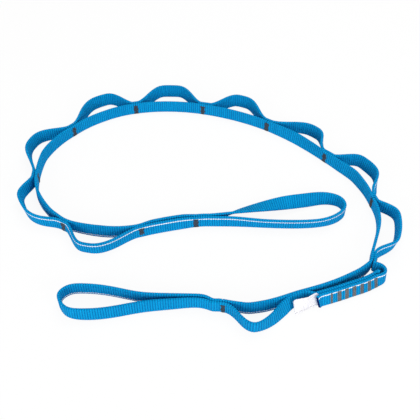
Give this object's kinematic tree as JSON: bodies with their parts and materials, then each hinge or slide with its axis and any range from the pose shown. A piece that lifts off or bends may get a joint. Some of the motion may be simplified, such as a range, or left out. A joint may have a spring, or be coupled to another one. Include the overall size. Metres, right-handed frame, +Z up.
{
  "type": "climbing daisy chain",
  "caption": "Sewn webbing chain of carabiner pockets between two end loops, laid out on its edge, with bar tacks, a lap splice and a label.",
  "frame": {"origin": "under the middle of the laid-out chain's box, on the surface that the webbing's lower edge stands on", "axes": "+X to the right of the layout, towards the fold; +Y away from the end loops' open side; +Z up along the webbing's width"},
  "size_m": [0.427, 0.35, 0.016],
  "materials": {
    "webbing": "ribbed weave",
    "thread": "satin stitches",
    "label": "smooth, bare"
  },
  "bodies": {
    "chain_left": {"spine_01": "webbing", "spine_02": "webbing", "spine_03": "webbing", "spine_04": "webbing", "spine_05": "webbing", "spine_06": "webbing", "pocket_01": "webbing", "pocket_02": "webbing", "pocket_03": "webbing", "pocket_04": "webbing", "pocket_05": "webbing", "pocket_06": "webbing", "pocket_tack_01": "thread", "pocket_tack_02": "thread", "pocket_tack_03": "thread", "pocket_tack_04": "thread", "pocket_tack_05": "thread", "pocket_tack_06": "thread", "pocket_tack_07": "thread"},
    "chain_middle": {"spine_07": "webbing", "spine_08": "webbing", "pocket_07": "webbing", "pocket_08": "webbing", "pocket_tack_08": "thread", "pocket_tack_09": "thread"},
    "chain_right": {"spine_09": "webbing", "spine_10": "webbing", "pocket_09": "webbing", "pocket_10": "webbing", "pocket_tack_10": "thread"},
    "tail": {"spine_11": "webbing", "splice_outer_ply": "webbing", "splice_inner_ply": "webbing", "splice_tack_1": "thread", "splice_tack_2": "thread", "splice_tack_3": "thread", "splice_tack_4": "thread", "splice_tack_5": "thread", "splice_tack_6": "thread", "splice_tack_7": "thread", "pocket_tack_11": "thread", "pocket_tack_12": "thread"},
    "upper_end_loop": {"upper_end_loop": "webbing"},
    "lower_end_loop": {"lower_end_loop": "webbing"},
    "label": {"label": "label"}
  },
  "joints": [
    {"name": "upper_end_loop_bend", "type": "hinge", "parent": "chain_left", "child": "upper_end_loop", "pos_m": [-0.0062, -0.03981, 0.008], "axis": [0, 0, 1], "range_deg": [-20, 15]},
    {"name": "chain_middle_bend", "type": "hinge", "parent": "chain_left", "child": "chain_middle", "pos_m": [0.00099, 0.13984, 0.008], "axis": [0, 0, 1], "range_deg": [-2, 50]},
    {"name": "chain_right_bend", "type": "hinge", "parent": "chain_middle", "child": "chain_right", "pos_m": [0.1468, 0.05507, 0.008], "axis": [0, 0, 1], "range_deg": [-2, 35]},
    {"name": "tail_bend", "type": "hinge", "parent": "chain_right", "child": "tail", "pos_m": [0.1771, -0.09238, 0.008], "axis": [0, 0, 1], "range_deg": [-2, 45]},
    {"name": "lower_end_loop_bend", "type": "hinge", "parent": "tail", "child": "lower_end_loop", "pos_m": [0.01232, -0.1497, 0.008], "axis": [0, 0, 1], "range_deg": [-8, 20]},
    {"name": "label_fold", "type": "hinge", "parent": "tail", "child": "label", "pos_m": [0.11195, -0.14314, 0.008], "axis": [0, 0, 1], "range_deg": [-2, 35]}
  ]
}
